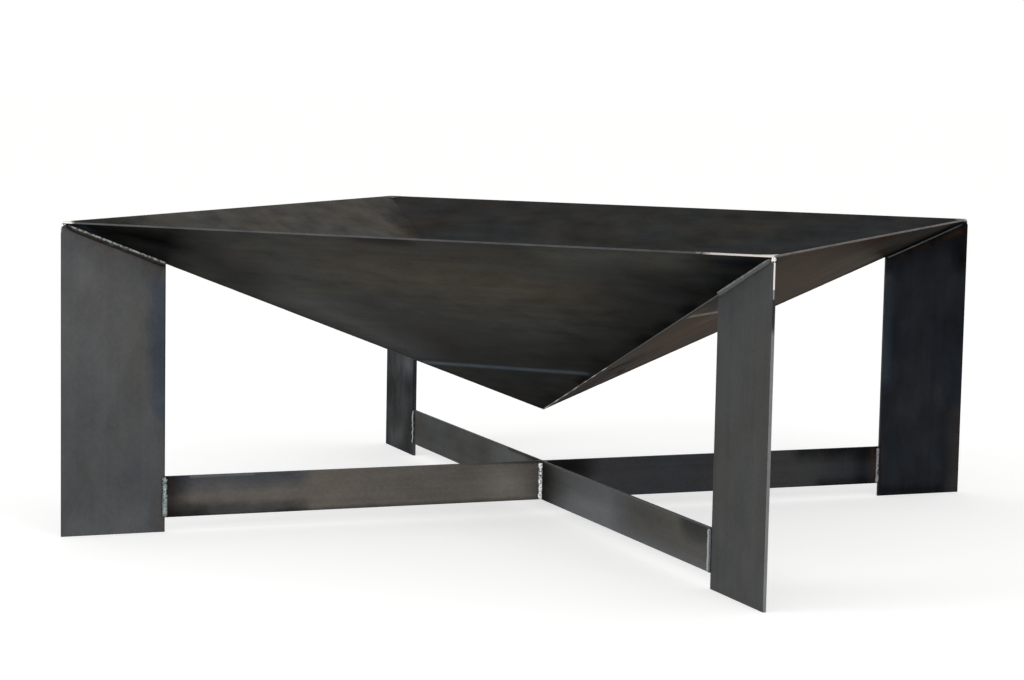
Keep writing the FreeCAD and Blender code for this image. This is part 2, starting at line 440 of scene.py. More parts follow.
@dataclass(frozen=True)
class MillScale(Finish):
    """Hot-rolled mild steel as it left the mill, with its dark grey oxide scale.

    The scale is a thin dark metallic skin: it reflects the room dimly and softly, is cloudy over a hand's
    width with blue and brown casts, and has faint streaks along the rolling direction. Cut edges show bare
    grey steel, ground edges shine, and beside a weld the scale is blackened, browned and blued by heat.
    """

    tone: ScaleTone
    mottle: Mottle
    plate: PlateFrame
    seed: int
    other_tone: ScaleTone | None = None
    marks: tuple[Mark, ...] = ()
    edge_marks: tuple[Mark, ...] = ()
    roughness: float = 0.55
    edge_tint: str = "#c0c0c0"
    cut_edge: str = "#77787a"
    cloud_mm: Pair = (140, 85)
    smudge_mm: Pair = (36, 22)
    streak_mm: Pair = (400, 7)
    # The scale's grain is about 0.3 mm; it is drawn at 3 mm so that it shows in the render
    grain_mm: Pair = (4, 3)
    cloud_levels: Pair = (0.36, 0.64)
    cloud_gloss: float = 0.12
    smudge_gloss: float = 0.08
    streak_relief: float = 0.6
    relief_strength: float = 0.25
    relief_depth: float = 0.05 * MM

    def pattern(self, tree: NodeTree, size_mm: Pair, layer: int, detail: float) -> NodeSocket:
        """Noise that is laid out along the plate's rolling direction.

        Args:
            tree: Node tree of the material.
            size_mm: Size of a patch along and across the rolling direction, in millimetres.
            layer: Number that sets this noise apart from the material's others.
            detail: How many finer layers of noise are added.

        Returns:
            Socket with the noise, from 0 to 1.
        """
        along, across = (v * MM for v in size_mm)
        seeds_apart, spread, roughness = 17, 9.0, 0.55
        rng = random.Random(self.seed * seeds_apart + layer)
        shift = [rng.uniform(-spread, spread) for _ in range(3)]
        mapped = add(tree, "Mapping", {
            "Vector": add(tree, "TexCoord", out="Object"), "Location": shift, "Rotation": self.plate.turn,
            "Scale": (along, across, across),
        }, vector_type="TEXTURE")
        return add(tree, "TexNoise", {
            "Vector": mapped, "Scale": 1.0, "Detail": detail, "Roughness": roughness,
        })

    def facing(self, tree: NodeTree) -> NodeSocket:
        """1 on the face that the plate's normal points out of, -1 on the other, about 0 on its cut edges."""
        normal = add(tree, "NewGeometry", out="True Normal")
        return add(tree, "VectorMath", (normal, self.plate.normal), out="Value", operation="DOT_PRODUCT")

    def edge_mask(self, tree: NodeTree, facing: NodeSocket) -> NodeSocket:
        """Tells the plate's cut edges from its faces, with the bevel between them as a soft change.

        Args:
            tree: Node tree of the material.
            facing: Socket from facing().

        Returns:
            Socket with 1 on the cut edges and 0 on the two faces.
        """
        on_edge, on_face = 0.8, 0.97
        square = add(tree, "Math", (facing,), operation="ABSOLUTE")
        return add(tree, "MapRange", {
            "Value": square, "From Min": on_edge, "From Max": on_face, "To Min": 1.0, "To Max": 0.0,
        })

    def stained(self, tree: NodeTree, colour: NodeSocket, mark: Mark, patch: NodeSocket,
                mask: NodeSocket | float) -> tuple[NodeSocket, NodeSocket]:
        """Lays one mark over a colour.

        Args:
            tree: Node tree of the material.
            colour: Colour under the mark.
            mark: The mark.
            patch: Noise that makes the mark uneven.
            mask: Where the mark may lie.

        Returns:
            Sockets with the marked colour and with how much of it the mark covers.
        """
        run = mark.end - mark.start
        per_run = run / run.length_squared if run.length else run
        place = add(tree, "TexCoord", out="Object")
        offset = add(tree, "VectorMath", (place, mark.start), operation="SUBTRACT")
        share = add(tree, "VectorMath", (offset, per_run), out="Value", operation="DOT_PRODUCT")
        share = add(tree, "Math", (share, 0.0), operation="ADD", use_clamp=True)
        foot = add(tree, "VectorMath", {0: run, "Scale": share}, operation="SCALE")
        away = add(tree, "VectorMath", (offset, foot), out="Value", operation="DISTANCE")
        away = add(tree, "Math", (away, 1 / mark.reach, -mark.uneven / 2), operation="MULTIPLY_ADD")
        away = add(tree, "Math", (patch, mark.uneven, away), operation="MULTIPLY_ADD")
        tint = add(tree, "ValToRGB", (away,), stops=mark.stain.value)
        cover = add(tree, "Math", (tint.node.outputs["Alpha"], mark.strength), operation="MULTIPLY")
        cover = add(tree, "Math", (cover, mask), operation="MULTIPLY")
        return add(tree, "Mix", {MIX_FACTOR: cover, MIX_A: colour, MIX_B: tint}, **MIX_COLOURS), cover

    def surface(self, tree: NodeTree) -> NodeSocket:
        """Adds the scale's casts, mottle and marks, the bare cut edges, the gloss and the relief.

        Args:
            tree: Node tree of the material.

        Returns:
            The shader's socket.
        """
        # Patch size and detail of each pattern
        patterns = ((self.cloud_mm, 3.0), (self.smudge_mm, 4.0), (self.streak_mm, 2.0), (self.grain_mm, 2.0))
        cloud, smudge, streak, grain = (
            self.pattern(tree, size_mm, layer, detail) for layer, (size_mm, detail) in enumerate(patterns, 1))
        facing = self.facing(tree)
        edge = self.edge_mask(tree, facing)
        outer = add(tree, "Math", (facing, 0.0), operation="GREATER_THAN")

        # Blue and brown casts in clouds, with smudges, streaks and grain as lighter and darker scale
        low, high = self.cloud_levels
        cast = add(tree, "MapRange", {"Value": cloud, "From Min": low, "From Max": high})
        tones = [(linear(tone.cool), linear(tone.warm)) for tone in (self.tone, self.other_tone or self.tone)]
        outside, inside = (
            add(tree, "Mix", {MIX_FACTOR: cast, MIX_A: cool, MIX_B: warm}, **MIX_COLOURS)
            for cool, warm in tones)
        colour = add(tree, "Mix", {MIX_FACTOR: outer, MIX_A: inside, MIX_B: outside}, **MIX_COLOURS)
        shares = ((smudge, self.mottle.smudge), (streak, self.mottle.streak), (grain, self.mottle.grain))
        value = 1 - sum(share for _, share in shares) / 2
        for noise, share in shares:
            value = add(tree, "Math", (noise, share, value), operation="MULTIPLY_ADD")
        sheen: NodeSocket | float = 1.0
        for mark in self.marks:
            colour, cover = self.stained(tree, colour, mark, smudge, outer if mark.outside else 1.0)
            if mark.stain.matt:
                kept = add(tree, "Math", (cover, -mark.stain.matt, 1.0), operation="MULTIPLY_ADD")
                sheen = add(tree, "Math", (sheen, kept), operation="MULTIPLY")
        colour = add(tree, "HueSaturation", {"Color": colour, "Value": value})

        # Bare steel on the cut edges, brighter where they were ground
        bare = add(tree, "HueSaturation", {"Color": linear(self.cut_edge), "Value": value})
        colour = add(tree, "Mix", {MIX_FACTOR: edge, MIX_A: colour, MIX_B: bare}, **MIX_COLOURS)
        for mark in self.edge_marks:
            colour, _ = self.stained(tree, colour, mark, grain, edge)

        smoothest = self.roughness - (self.cloud_gloss + self.smudge_gloss) / 2
        gloss = add(tree, "Math", (cloud, self.cloud_gloss, smoothest), operation="MULTIPLY_ADD")
        gloss = add(tree, "Math", (smudge, self.smudge_gloss, gloss), operation="MULTIPLY_ADD")
        relief = add(tree, "Math", (streak, self.streak_relief, grain), operation="MULTIPLY_ADD")
        bump = add(tree, "Bump", {
            "Height": relief, "Strength": self.relief_strength, "Distance": self.relief_depth,
        })
        return add(tree, "BsdfPrincipled", {
            "Base Color": colour, "Metallic": sheen, "Roughness": gloss, "Specular IOR Level": 0.0,
            "Specular Tint": linear(self.edge_tint), "Normal": bump,
        })


@dataclass(frozen=True)
class WeldMetal(Finish):
    """Mild-steel weld bead as laid, with its ripples.

    The crest colour is a painted highlight along the bead, brightest on the ripples' crests and in specks;
    the valleys hold thin grey oxide, and the toes are dark with slag and soot and with painted shade in the
    crease along the plates. Patches are blued or browned by the heat.
    """

    crest: str
    valley: str
    toe: str = "#1d1d1e"
    blued: str = "#5c6a78"
    browned: str = "#6e604f"
    edge_tint: str = "#c8c8c8"
    roughness: float = 0.33
    gloss_spread: float = 0.2
    patch_mm: float = 9.0
    tint: float = 0.6
    # The fine ripples are about 0.5 mm apart; their glints, painted highlights, are drawn at 1.5 mm or more
    # so that they show
    speckle_mm: float = 1.5
    speckle: float = 0.0
    speckle_levels: Pair = (0.38, 0.62)

    def surface(self, tree: NodeTree) -> NodeSocket:
        """Adds the bead's crests, valleys and toes, its heat tints and its gloss.

        Args:
            tree: Node tree of the material.

        Returns:
            The shader's socket.
        """
        crest, toe = (add(tree, "Attribute", out="Fac", attribute_name=name) for name in (CREST, TOE))
        place = add(tree, "TexCoord", out="Object")
        patch = add(tree, "TexNoise", {"Vector": place, "Scale": 1 / (self.patch_mm * MM), "Detail": 2.0})
        if self.speckle:
            low, high = self.speckle_levels
            glints = add(tree, "TexNoise", {
                "Vector": place, "Scale": 1 / (self.speckle_mm * MM), "Detail": 1.0,
            })
            glints = add(tree, "MapRange", {
                "Value": glints, "From Min": low, "From Max": high, "To Min": 1 - self.speckle,
                "To Max": 1 + self.speckle,
            })
            crest = add(tree, "Math", (crest, glints), operation="MULTIPLY", use_clamp=True)
        colour = add(tree, "Mix", {
            MIX_FACTOR: crest, MIX_A: linear(self.valley), MIX_B: linear(self.crest),
        }, **MIX_COLOURS)
        tint = add(tree, "ValToRGB", (patch,), stops=[
            (0.3, self.blued, self.tint), (0.45, self.blued, 0.0),
            (0.58, self.browned, 0.0), (0.72, self.browned, self.tint),
        ])
        tinted = tint.node.outputs["Alpha"]
        colour = add(tree, "Mix", {MIX_FACTOR: tinted, MIX_A: colour, MIX_B: tint}, **MIX_COLOURS)
        colour = add(tree, "Mix", {MIX_FACTOR: toe, MIX_A: colour, MIX_B: linear(self.toe)}, **MIX_COLOURS)
        smoothest = self.roughness - self.gloss_spread / 2
        gloss = add(tree, "Math", (patch, self.gloss_spread, smoothest), operation="MULTIPLY_ADD")
        return add(tree, "BsdfPrincipled", {
            "Base Color": colour, "Metallic": 1.0, "Roughness": gloss,
            "Specular Tint": linear(self.edge_tint),
        })


@dataclass(frozen=True)
class GroundSteel(Finish):
    """Weld metal ground flush with a flap disc: bright and slightly warm, with fine parallel scratches."""

    colour: str
    dull: str
    roughness: float = 0.3
    gloss_spread: float = 0.2
    # The disc's scratches are about 0.1 mm apart; they are drawn at 0.9 mm so that they show
    scratch_mm: Pair = (14, 0.9)
    scratch_turn: float = 28.0
    scratch_levels: Pair = (0.3, 0.6)
    relief_strength: float = 0.4
    relief_depth: float = 0.05 * MM

    def surface(self, tree: NodeTree) -> NodeSocket:
        """Adds the scratches, the colours between them, the gloss and the relief.

        Args:
            tree: Node tree of the material.

        Returns:
            The shader's socket.
        """
        along, across = (v * MM for v in self.scratch_mm)
        low, high = self.scratch_levels
        mapped = add(tree, "Mapping", {
            "Vector": add(tree, "TexCoord", out="Object"), "Scale": (along, across, across),
            "Rotation": (0, 0, math.radians(self.scratch_turn)),
        }, vector_type="TEXTURE")
        scratch = add(tree, "TexNoise", {"Vector": mapped, "Scale": 1.0, "Detail": 2.0})
        share = add(tree, "MapRange", {"Value": scratch, "From Min": low, "From Max": high})
        colour = add(tree, "Mix", {
            MIX_FACTOR: share, MIX_A: linear(self.dull), MIX_B: linear(self.colour),
        }, **MIX_COLOURS)
        smoothest = self.roughness - self.gloss_spread / 2
        gloss = add(tree, "Math", (scratch, self.gloss_spread, smoothest), operation="MULTIPLY_ADD")
        bump = add(tree, "Bump", {
            "Height": scratch, "Strength": self.relief_strength, "Distance": self.relief_depth,
        })
        return add(tree, "BsdfPrincipled", {
            "Base Color": colour, "Metallic": 1.0, "Roughness": gloss, "Normal": bump,
        })


@dataclass(frozen=True)
class PaleFloor(Finish):
    """Matt white paper sweep: it takes soft shadows and shows as white in the picture and in the metal."""

    name: str = "white_paper_matt"
    colour: str = "#d6d6d5"
    lift: float = 0.57

    def surface(self, tree: NodeTree) -> NodeSocket:
        """Adds the paper, lifted to white where the camera or the metal sees it.

        Args:
            tree: Node tree of the material.

        Returns:
            The shader's socket.
        """
        paper = add(tree, "BsdfDiffuse", {"Color": linear(self.colour)})
        seen = add(tree, "LightPath", out="Is Camera Ray")
        path = seen.node.outputs
        seen = add(tree, "Math", (seen, path["Is Glossy Ray"]), operation="ADD")
        seen = add(tree, "Math", (seen, path["Is Transmission Ray"]), operation="ADD", use_clamp=True)
        lift = add(tree, "Math", (seen, self.lift), operation="MULTIPLY")
        glow = add(tree, "Emission", {"Color": (1, 1, 1, 1), "Strength": lift})
        return add(tree, "AddShader", (paper, glow))


@dataclass(frozen=True)
class DarkCard(Finish):
    """Matt black card: an even dark grey without any sheen."""

    name: str = "black_card_matt"
    colour: str = "#30343a"

    def surface(self, tree: NodeTree) -> NodeSocket:
        """Adds the card's one shader and returns its socket."""
        return add(tree, "BsdfDiffuse", {"Color": linear(self.colour)})


@dataclass(frozen=True)
class Ripple:
    """Freeze lines of a weld pool: their pitch, height, bow and unevenness, and the lumps along the bead.

    Rows is the number of mesh rows to a ripple. Contrast is how much darker the valleys are than the crests,
    oxide in the valleys and painted shading of the ripples, a high sharpness leaves only specks of painted
    highlight bright, and calm is the share of the bead, from its start, that is almost smooth.
    """

    pitch: float
    height: float
    bow: float
    unevenness: float
    lumps: float = 0.0
    lump_pitch: float = 9 * MM
    rows: int = 6
    contrast: float = 1.0
    sharpness: float = 1.0
    calm: float = 0.0


@dataclass(frozen=True)
class Section:
    """Section of a bead: a chord between its two toes, a bulge over the chord, and a root between the plates.

    The bead's colour is painted brightest at its glint, a painted highlight placed from -1 at the first toe
    to 1 at the second, and fades over its width.
    """

    toe_a: Pair
    toe_b: Pair
    root: Pair
    bulge: float
    columns: int = 11
    glint: float = 0.0
    glint_width: float = 1.0


# Spread of the ripples' pitch and width, and the power that moves a ripple's crest towards its start
PITCH_SPREAD, WIDTH_SPREAD, CREST_SKEW = 0.6, 0.4, 0.7
# Share of width that a bead keeps at its ends, and the powers that end its ripples and begin its dark toes
END_WIDTH, RIPPLE_FADE, TOE_FADE = 0.3, 4, 10
# Share of a bead over which calm gives way or the tail comes in, and the relief and shine that calm keeps
CHANGE_SHARE, CALM_RELIEF, CALM_SHINE = 0.125, 0.1, 0.6
# Brightness of a tail's painted highlight, its middle across the bead, and its width
TAIL_SHINE, TAIL_MIDDLE, TAIL_WIDTH = 0.8, -0.3, 0.6


@dataclass(frozen=True)
class Bead:
    """One weld bead along a straight joint, closed, with overlapping ripples and rounded ends.

    The tail is the share of the bead, at its far end, that has the painted highlight on its first half too.
    """

    start: Vector
    travel: Vector
    length: float
    side_axis: Vector
    crown_axis: Vector
    section: Section
    ripple: Ripple
    end_radius: float
    seed: int
    shine: float = 1.0
    far_radius: float = 0.0
    tail: float = 0.0

    def lay(self, bm: BMesh) -> None:
        """Adds the bead's mesh.

        Args:
            bm: Mesh that takes the bead, with the layers of new_mesh().
        """
        rng = random.Random(self.seed)
        crest_layer, toe_layer = (bm.verts.layers.float[name] for name in (CREST, TOE))
        wave, form = self.ripple, self.section
        bounds, heights, widths = [-wave.pitch], [1.0], [1.0]
        while bounds[-1] < self.length + wave.pitch:
            spread = rng.uniform(-PITCH_SPREAD, PITCH_SPREAD)
            bounds.append(bounds[-1] + wave.pitch * (1 + wave.unevenness * spread))
            heights.append(1 + wave.unevenness * rng.uniform(-1, 1))
            widths.append(1 + wave.unevenness * rng.uniform(-WIDTH_SPREAD, WIDTH_SPREAD))
        lumps = [rng.uniform(-1, 1) for _ in range(int(self.length / wave.lump_pitch) + 3)]
        toe_a, toe_b, root = Vector(form.toe_a), Vector(form.toe_b), Vector(form.root)
        chord = toe_b - toe_a
        proud = Vector((-chord.y, chord.x)).normalized()
        if proud.dot((toe_a + toe_b) / 2 - root) < 0:
            proud.negate()

        rings = []
        count = max(4, math.ceil(self.length / wave.pitch * wave.rows))
        for row in range(count + 1):
            along = self.length * row / count
            done, left = along / self.length, self.length - along
            near_end = min(1.0, along / self.end_radius, left / (self.far_radius or self.end_radius))
            fullness = math.sqrt(1 - (1 - near_end) ** 2)
            rough = clamp((done - wave.calm) / CHANGE_SHARE, CALM_RELIEF) if wave.calm else 1.0
            in_tail = clamp((done - 1 + self.tail) / CHANGE_SHARE)
            lump = 1 + wave.lumps * rough * self._eased(lumps, along / wave.lump_pitch)
            calm_shine = CALM_SHINE + (1 - CALM_SHINE) * rough
            ring = []
            for column in range(form.columns):
                across = 2 * column / (form.columns - 1) - 1
                behind = along - wave.bow * across * across
                i = min(max(bisect.bisect_right(bounds, behind) - 1, 0), len(bounds) - 2)
                share = clamp((behind - bounds[i]) / (bounds[i + 1] - bounds[i]))
                height, width = (1 + rough * (self._eased(v, i + share) - 1) for v in (heights, widths))
                swell = 0.5 - 0.5 * math.cos(2 * math.pi * share ** CREST_SKEW)
                scale = width * lump * (END_WIDTH + (1 - END_WIDTH) * fullness)
                flat = root + (toe_a + chord * ((across + 1) / 2) - root) * scale
                ridge = wave.height * rough * swell * (1 - across ** RIPPLE_FADE)
                flat += proud * (form.bulge * height * (1 - across * across) * scale + ridge * fullness)
                # Painted highlight: the band where the bead would catch the light, and in a tail a second
                # band
                lit = max(0.0, 1 - ((across - form.glint) / form.glint_width) ** 2)
                lit = max(lit, in_tail * (TAIL_SHINE - ((across - TAIL_MIDDLE) / TAIL_WIDTH) ** 2))
                shade = wave.contrast * rough * (1 - swell ** wave.sharpness)
                vertex = self._vertex(bm, along, flat)
                vertex[crest_layer] = self.shine * lit * fullness * (1 - shade) * calm_shine
                vertex[toe_layer] = max(abs(across) ** TOE_FADE, 1 - fullness)
                ring.append(vertex)
            ring.append(self._vertex(bm, along, root))
            ring[-1][toe_layer] = 1.0
            rings.append(ring)
        for ring, following in zip(rings, rings[1:]):
            for i in range(len(ring)):
                j = (i + 1) % len(ring)
                bm.faces.new((ring[i], ring[j], following[j], following[i]))
        for end in (rings[0], rings[-1]):
            bm.faces.new(end)

    @staticmethod
    def _eased(levels: Sequence[float], place: float) -> float:
        """Level at a place between two whole numbers, eased from one level to the next.

        Args:
            levels: Levels at the whole numbers from 0.
            place: The place.

        Returns:
            The level.
        """
        i = min(int(place), len(levels) - 2)
        share = min(1.0, place - i)
        return levels[i] + (levels[i + 1] - levels[i]) * share * share * (3 - 2 * share)

    def _vertex(self, bm: BMesh, along: float, flat: Vector) -> BMVert:
        """Adds one vertex, by its distance along the joint and its place in the section."""
        on_joint = self.start + self.travel * along
        return bm.verts.new(on_joint + self.side_axis * flat.x + self.crown_axis * flat.y)


@dataclass(frozen=True)
class Lump:
    """A rounded lump of weld metal, slightly uneven, with its half axes."""

    centre: Vector
    half_axes: tuple[Vector, Vector, Vector]
    seed: int
    unevenness: float = 0.06
    dullest: float = 0.5
    rings: int = 8
    sectors: int = 14

    def lay(self, bm: BMesh) -> None:
        """Adds the lump's mesh.

        Args:
            bm: Mesh that takes the lump, with the layers of new_mesh().
        """
        rng = random.Random(self.seed)
        crest_layer = bm.verts.layers.float[CREST]
        first, second, third = self.half_axes
        poles = [bm.verts.new(self.centre + third * end) for end in (1, -1)]
        loops = []
        for ring in range(1, self.rings):
            polar = math.pi * ring / self.rings
            loop = []
            for sector in range(self.sectors):
                turn = 2 * math.pi * sector / self.sectors
                size = 1 - self.unevenness * rng.random()
                level = first * math.cos(turn) + second * math.sin(turn)
                out = level * math.sin(polar) + third * math.cos(polar)
                loop.append(bm.verts.new(self.centre + out * size))
                loop[-1][crest_layer] = rng.uniform(self.dullest, 1.0)
            loops.append(loop)
        for i in range(self.sectors):
            j = (i + 1) % self.sectors
            bm.faces.new((poles[0], loops[0][i], loops[0][j]))
            bm.faces.new((poles[1], loops[-1][j], loops[-1][i]))
            for loop, following in zip(loops, loops[1:]):
                bm.faces.new((loop[i], following[i], following[j], loop[j]))


def new_mesh() -> BMesh:
    """Makes an empty mesh with the layers that weld metal's material reads.

    Returns:
        The mesh.
    """
    bm = bmesh.new()
    for name in (CREST, TOE):
        bm.verts.layers.float.new(name)
    return bm


def new_object(name: str, data: ID) -> Object:
    """Makes an object and links it to the scene.

    Args:
        name: Name of the object.
        data: Its mesh, lamp or camera.

    Returns:
        The new object.
    """
    made = bpy.data.objects.new(name, data)
    bpy.context.scene.collection.objects.link(made)
    return made


def new_mesh_object(name: str, bm: BMesh, material: Material, smooth: bool = False) -> Object:
    """Makes an object of a mesh.

    Args:
        name: Name of the object and its mesh.
        bm: The mesh, which is freed.
        material: Its finish.
        smooth: Whether its faces are shaded smooth.

    Returns:
        The new object.
    """
    mesh = bpy.data.meshes.new(name)
    bm.to_mesh(mesh)
    bm.free()
    if smooth:
        mesh.shade_smooth()
    mesh.materials.append(material)
    return new_object(name, mesh)


def make_piece(node: str, bm: BMesh, material: Material) -> None:
    """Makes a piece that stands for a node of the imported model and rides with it.

    Args:
        node: Name of the node.
        bm: Mesh of the piece, which is freed.
        material: Finish of the piece.
    """
    bmesh.ops.recalc_face_normals(bm, faces=bm.faces)
    piece = new_mesh_object(f"{node}_dressed", bm, material, smooth=True)
    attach(piece, BODY)
    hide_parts(node)
    LOG.info("%s: %d faces", piece.name, len(piece.data.polygons))


def dress_plate(node: str, finish: MillScale, edge_radius: float) -> None:
    """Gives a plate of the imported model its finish, with its cut edges broken.

    Args:
        node: Name of the plate's node.
        finish: Finish of the plate.
        edge_radius: Size of the broken edge.
    """
    same_point, sharp_edge = 0.01 * MM, math.radians(40)
    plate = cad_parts[node]
    plate.data.materials.clear()
    plate.data.materials.append(finish.material())
    merge = plate.modifiers.new("merge_facets", "WELD")
    merge.merge_threshold = same_point
    broken = plate.modifiers.new("broken_edges", "BEVEL")
    broken.width = edge_radius
    broken.segments = 2
    broken.limit_method = "ANGLE"
    broken.angle_limit = sharp_edge
    LOG.info("%s: %s", node, finish.name)


@dataclass(frozen=True)
class PanelLook:
    """How one panel came out: the casts of its two faces, the outer darker as painted shade, its mottle, its
    soot, its rim and its own marks.

    Soot beside the ridges and above the legs' welds is a reach in millimetres and a strength for each end of
    the panel, and ground is how far each end of the rim was ground bright, in millimetres.
    """

    outside: ScaleTone
    inside: ScaleTone
    mottle: Mottle
    ridge_soot: tuple[Pair, Pair] = ((15, 0.5), (15, 0.5))
    leg_soot: tuple[Pair, Pair] = ((46, 0.5), (46, 0.5))
    ground: Pair = (14, 14)
    outer_marks: tuple[Trace, ...] = ()
    through_marks: tuple[Trace, ...] = ()
    rolled_up_slope: bool = False
    roughness: float = 0.55
    edge_tint: str = "#c0c0c0"
    cut_edge: str = "#545556"

    def marks(self, side: Side) -> tuple[Mark, ...]:
        """All marks on the panel's faces: its own, and soot at its ridges and above the legs' welds.

        Args:
            side: Side of the bowl that the panel is on.

        Returns:
            The marks, from the lowest layer up.
        """
        marks = [trace.on_panel(side, True) for trace in self.outer_marks]
        marks += [trace.on_panel(side, False) for trace in self.through_marks]
        tip = UP * SIZES.tip_height
        for end, ridge_soot, leg_soot in zip((-1, 1), self.ridge_soot, self.leg_soot):
            corner = side.rim_end(end)
            leg = tip + (corner - tip) * (SIZES.leg_inner / SIZES.ridge_run)
            for start, (reach, strength) in ((tip, ridge_soot), (leg, leg_soot)):
                marks.append(Mark(Stain.SOOT, start, corner, reach * MM, strength, uneven=0.6, outside=True))
        return tuple(marks)

    def rim_marks(self, side: Side) -> tuple[Mark, ...]:
        """The ground ends of the panel's rim."""
        ends = [(side.rim_end(end), reach) for end, reach in zip((-1, 1), self.ground) if reach]
        return tuple(Mark(Stain.GROUND, corner, corner, reach * MM) for corner, reach in ends)


# Outer casts are darker than inner as painted shade: the outer faces look down at shadowed floor
PANEL_LOOKS: dict[Side, PanelLook] = {
    Side.FRONT: PanelLook(
        ScaleTone("#2c2f2e", "#312f2b"), ScaleTone("#484a4a", "#4d4a45"), Mottle(1.25, 0.3, 0.35),
        ridge_soot=((15, 0.15), (20, 0.4)), leg_soot=((34, 0.7), (46, 0.6)), ground=(14, 68),
        outer_marks=(
            # Painted light: a paler middle, where the outer face reflects the brighter floor
            Trace(Stain.PALE, (-110, 262), (80, 242), 170, 0.45),
            Trace(Stain.BROWNED, (-60, 268), (120, 246), 80, 0.4, 1.2),
            Trace(Stain.LIGHT, (-165, 226), (-100, 179), 55, 0.25),
            Trace(Stain.PALE, (150, 290), (250, 292), 36, 0.4, 0.9),
            # Painted shade: darker towards the ends and under the rim, where the outer face reflects shadowed
            # floor
            Trace(Stain.DULL, (255, 254), (110, 174), 76, 0.9),
            Trace(Stain.DULL, (110, 232), (165, 240), 55, 0.35),
            Trace(Stain.DULL, (-35, 298), (8, 298), 18, 0.7),
            Trace(Stain.DULL, (-240, 288), (-205, 248), 50, 0.55),
            Trace(Stain.SOOT, (0, 109), (0, 109), 120, 0.35),
            # Soot with painted shade by the front left corner, where the outer face reflects the leg
            Trace(Stain.SOOT, (-254, 284), (-318, 295), 34, 1.0, 0.3),
            Trace(Stain.BLUED, (-329, 295), (-324, 290), 8, 0.8),
            Trace(Stain.NAVY, (300, 289), (322, 292), 15, 0.8),
            # The level line where the heat of a weld on the other face came through
            Trace(Stain.WELD_BEHIND, (-90, 158.5), (82, 158.5), 13, 0.85, 0.35),
            # Blots of soot along the right ridge
            Trace(Stain.SOOT, (68, 147), (78, 152), 9, 0.8, 0.8),
            Trace(Stain.SOOT, (170, 201), (182, 207), 13, 0.75, 1.0),
            Trace(Stain.SOOT, (198, 215), (208, 222), 15, 0.75, 1.0),
            Trace(Stain.SOOT, (234, 237), (246, 244), 13, 0.7, 1.0),
        ),
    ),
    Side.RIGHT: PanelLook(
        ScaleTone("#423f3c", "#48413a"), ScaleTone("#494a4a", "#4e4b46"), Mottle(0.9, 0.5, 0.3),
        ridge_soot=((15, 0.3), (30, 0.45)), leg_soot=((46, 0.4), (64, 0.95)), ground=(0, 14),
        outer_marks=(
            Trace(Stain.HAZED, (0, 125), (-60, 166), 38, 0.6, 0.9),
            Trace(Stain.BROWNED, (-100, 218), (-30, 196), 60, 0.6, 0.9),
            Trace(Stain.BROWNED, (-110, 273), (-80, 271), 26, 0.5, 0.9),
            Trace(Stain.BROWNED, (40, 252), (95, 252), 30, 0.5, 0.9),
            Trace(Stain.PALE, (40, 274), (110, 276), 45, 0.4),
            Trace(Stain.HAZED, (-240, 249), (-150, 240), 22, 0.9),
            Trace(Stain.HAZED, (110, 287), (320, 297), 34, 0.6),
            Trace(Stain.DUSTY, (-205, 230.8), (-97, 226.3), 5, 0.5, 0.3),
            Trace(Stain.DUSTY, (-66, 212), (-51, 217.8), 5, 0.35),
            # Scratches of the rollers, up the slope from the tip, with two smudges beside them
            Trace(Stain.SOOT, (-60, 142), (-60, 176), 8, 0.5, 0.8),
            Trace(Stain.SOOT, (-30, 130), (-30, 180), 8, 0.5, 0.8),
            Trace(Stain.SOOT, (2, 118.8), (2, 172), 8, 0.5, 0.8),
            Trace(Stain.SOOT, (-72, 161), (-40, 167), 8, 0.7, 0.8),
            Trace(Stain.SOOT, (0, 152), (30, 146), 7, 0.6, 0.8),
        ),
        rolled_up_slope=True, roughness=0.5, edge_tint="#968c82", cut_edge="#9c9c9c",
    ),
    Side.BACK: PanelLook(
        ScaleTone("#3a3c3d", "#403d39"), ScaleTone("#424446", "#474541"), Mottle(1.2, 0.25, 0.25),
        through_marks=(
            Trace(Stain.NAVY, (-236, 299), (-262, 297), 14, 0.5),
            Trace(Stain.DULL, (-165, 284), (-180, 283), 22, 0.3),
        ),
    ),
    Side.LEFT: PanelLook(
        ScaleTone("#414241", "#47433d"), ScaleTone("#5a5a57", "#5f5a52"), Mottle(1.5, 0.25, 0.25),
        through_marks=(
            Trace(Stain.DULL, (345, 299), (250, 295), 52, 0.9),
            # Painted shade along the inside corner with the back panel
            Trace(Stain.DULL, (-300, 284), (-265, 256), 42, 0.5),
        ),
    ),
}


